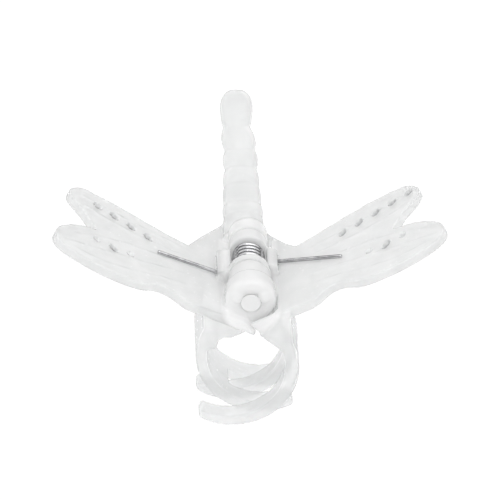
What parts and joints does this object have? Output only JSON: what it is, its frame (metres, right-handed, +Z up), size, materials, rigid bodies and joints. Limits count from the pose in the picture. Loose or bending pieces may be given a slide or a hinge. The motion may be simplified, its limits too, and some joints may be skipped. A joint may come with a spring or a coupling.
{
  "type": "orchid clip",
  "caption": "Clear dragonfly-shaped spring clip that ties a flower stem to its support stake; pinching the wings together opens its interlocking jaws.",
  "frame": {"origin": "middle of the closed jaw ring, where the stem and its stake pass through", "axes": "+Y along the hinge pin from the dragonfly's head to its tail, which is also the way the stem runs; +Z up, from the jaws to the wings; +X across the wings, to the right seen from the head"},
  "size_m": [0.0602, 0.0483, 0.0317],
  "materials": {
    "clear_left": "clear, polished",
    "clear_right": "clear, polished",
    "spring_steel": "drawn wire",
    "clear_pin": "clear, polished"
  },
  "bodies": {
    "left": {"left_half": "clear_left", "hinge_pin": "clear_pin", "torsion_spring": "spring_steel"},
    "right": {"right_half": "clear_right"}
  },
  "joints": [
    {"name": "wing_squeeze", "type": "hinge", "parent": "left", "child": "right", "pos_m": [0, 0.0058, 0.0106], "axis": [0, -1, 0], "range_deg": [0, 80], "stiffness_Nm_per_rad": 0.0135, "springref_deg": -68.75, "deforming": ["torsion_spring"]}
  ]
}
